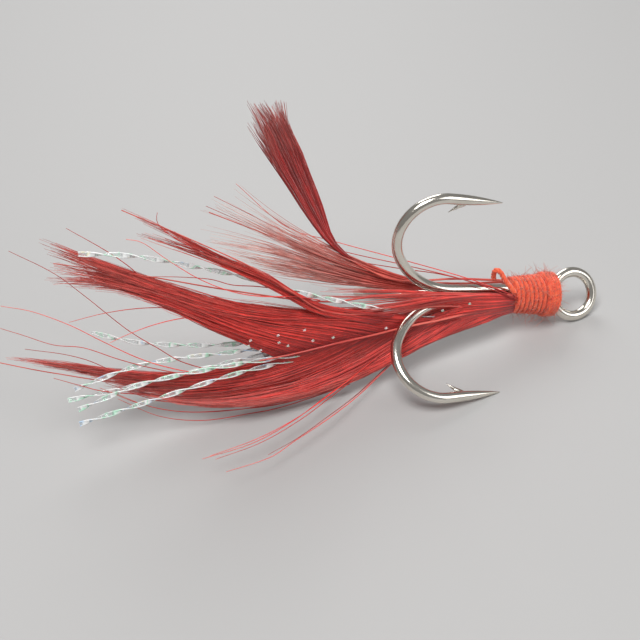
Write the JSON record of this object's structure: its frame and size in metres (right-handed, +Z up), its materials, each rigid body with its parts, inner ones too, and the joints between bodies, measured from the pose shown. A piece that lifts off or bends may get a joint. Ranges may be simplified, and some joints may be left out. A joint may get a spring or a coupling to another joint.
{
  "type": "feather-dressed treble hook",
  "caption": "Barbed treble fishing hook with a line eye, dressed with red hackle feathers and twisted pearl flash bound on by red thread.",
  "frame": {"origin": "centre of the line eye, on the eye's own plane", "axes": "+Z up from the table the hook lies on, +X level from the tail towards the eye, so the shanks slope down to the eye in the XZ plane"},
  "size_m": [0.0573, 0.019, 0.0245],
  "materials": {
    "nickel_plate": "polished nickel over steel wire, slightly warm",
    "braze": "plated-over braze seam",
    "red_thread": "wound fuzzy thread",
    "red_quill": "dyed horn shaft, satin",
    "red_barbs": "dyed feather barbs, silky",
    "pearl_film": "pearl film with green and pink glints"
  },
  "bodies": {
    "root": {"double_hook": "nickel_plate", "third_hook": "nickel_plate", "braze_fillet": "braze", "thread_underwrap": "red_thread", "thread_winding": "red_thread", "thread_tag": "red_thread", "front_hackle_quill": "red_quill", "front_hackle_lower_vane": "red_barbs", "front_hackle_upper_vane": "red_barbs", "crest_hackle_quill": "red_quill", "crest_hackle_lower_vane": "red_barbs", "crest_hackle_upper_vane": "red_barbs", "top_hackle_quill": "red_quill", "top_hackle_lower_vane": "red_barbs", "top_hackle_upper_vane": "red_barbs", "rear_hackle_quill": "red_quill", "rear_hackle_lower_vane": "red_barbs", "rear_hackle_upper_vane": "red_barbs", "upright_tuft_quill": "red_quill", "upright_tuft_lower_vane": "red_barbs", "upright_tuft_upper_vane": "red_barbs", "flash_strand_1": "pearl_film", "flash_strand_2": "pearl_film", "flash_strand_3": "pearl_film", "flash_strand_4": "pearl_film", "flash_strand_5": "pearl_film", "flash_strand_6": "pearl_film"}
  },
  "joints": []
}
